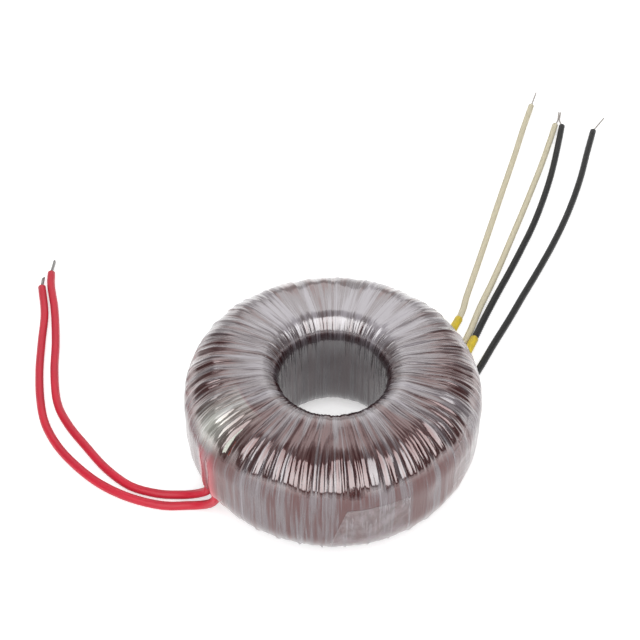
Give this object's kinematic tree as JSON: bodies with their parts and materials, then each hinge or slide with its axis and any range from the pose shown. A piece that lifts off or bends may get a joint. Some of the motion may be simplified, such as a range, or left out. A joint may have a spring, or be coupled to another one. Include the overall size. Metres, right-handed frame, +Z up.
{
  "type": "toroidal transformer",
  "caption": "Ring-shaped mains transformer wrapped in clear film, with stranded primary leads and sleeved secondary leads lying beside it.",
  "frame": {"origin": "on the ring's axis, at the plane that the ring stands on", "axes": "+Z up along the ring's axis; the primary leads leave towards -X and the secondary leads run back towards +Y"},
  "size_m": [0.1891, 0.2054, 0.035],
  "materials": {
    "core_steel": "wound silicon steel strip",
    "insulation_tape": "polyester tape",
    "enamelled_copper": "enamelled copper wire",
    "pad_fleece": "soaked insulating fleece",
    "wrap_film": "lapped clear polyester film, milky where it is many layers deep",
    "clear_tape": "clear polyester tape",
    "red_insulation": "extruded flexible insulation",
    "yellow_sleeving": "polyester sleeving",
    "light_sleeving": "varnished braided glass-fibre sleeving",
    "dark_sleeving": "varnished braided glass-fibre sleeving",
    "tinned_strands": "tinned copper strands",
    "bare_wire": "bare and lightly tinned copper wire"
  },
  "bodies": {
    "root": {"core": "core_steel", "core_tape": "insulation_tape", "primary_winding": "enamelled_copper", "barrier_tape": "insulation_tape", "secondary_winding_a": "enamelled_copper", "secondary_winding_b": "enamelled_copper", "splice_pad": "pad_fleece", "outer_wrap": "wrap_film", "closing_tape": "clear_tape", "wrap_tail": "clear_tape", "primary_run_a": "red_insulation", "primary_run_b": "red_insulation", "anchor_light_a": "yellow_sleeving", "anchor_light_b": "yellow_sleeving", "anchor_dark_a": "yellow_sleeving", "anchor_dark_b": "yellow_sleeving", "primary_lead_a": "red_insulation", "primary_lead_b": "red_insulation", "light_lead_a": "light_sleeving", "light_lead_b": "light_sleeving", "dark_lead_a": "dark_sleeving", "dark_lead_b": "dark_sleeving", "primary_end_a": "tinned_strands", "primary_end_b": "tinned_strands", "light_end_a": "bare_wire", "light_end_b": "bare_wire", "dark_end_a": "bare_wire", "dark_end_b": "bare_wire"}
  },
  "joints": []
}
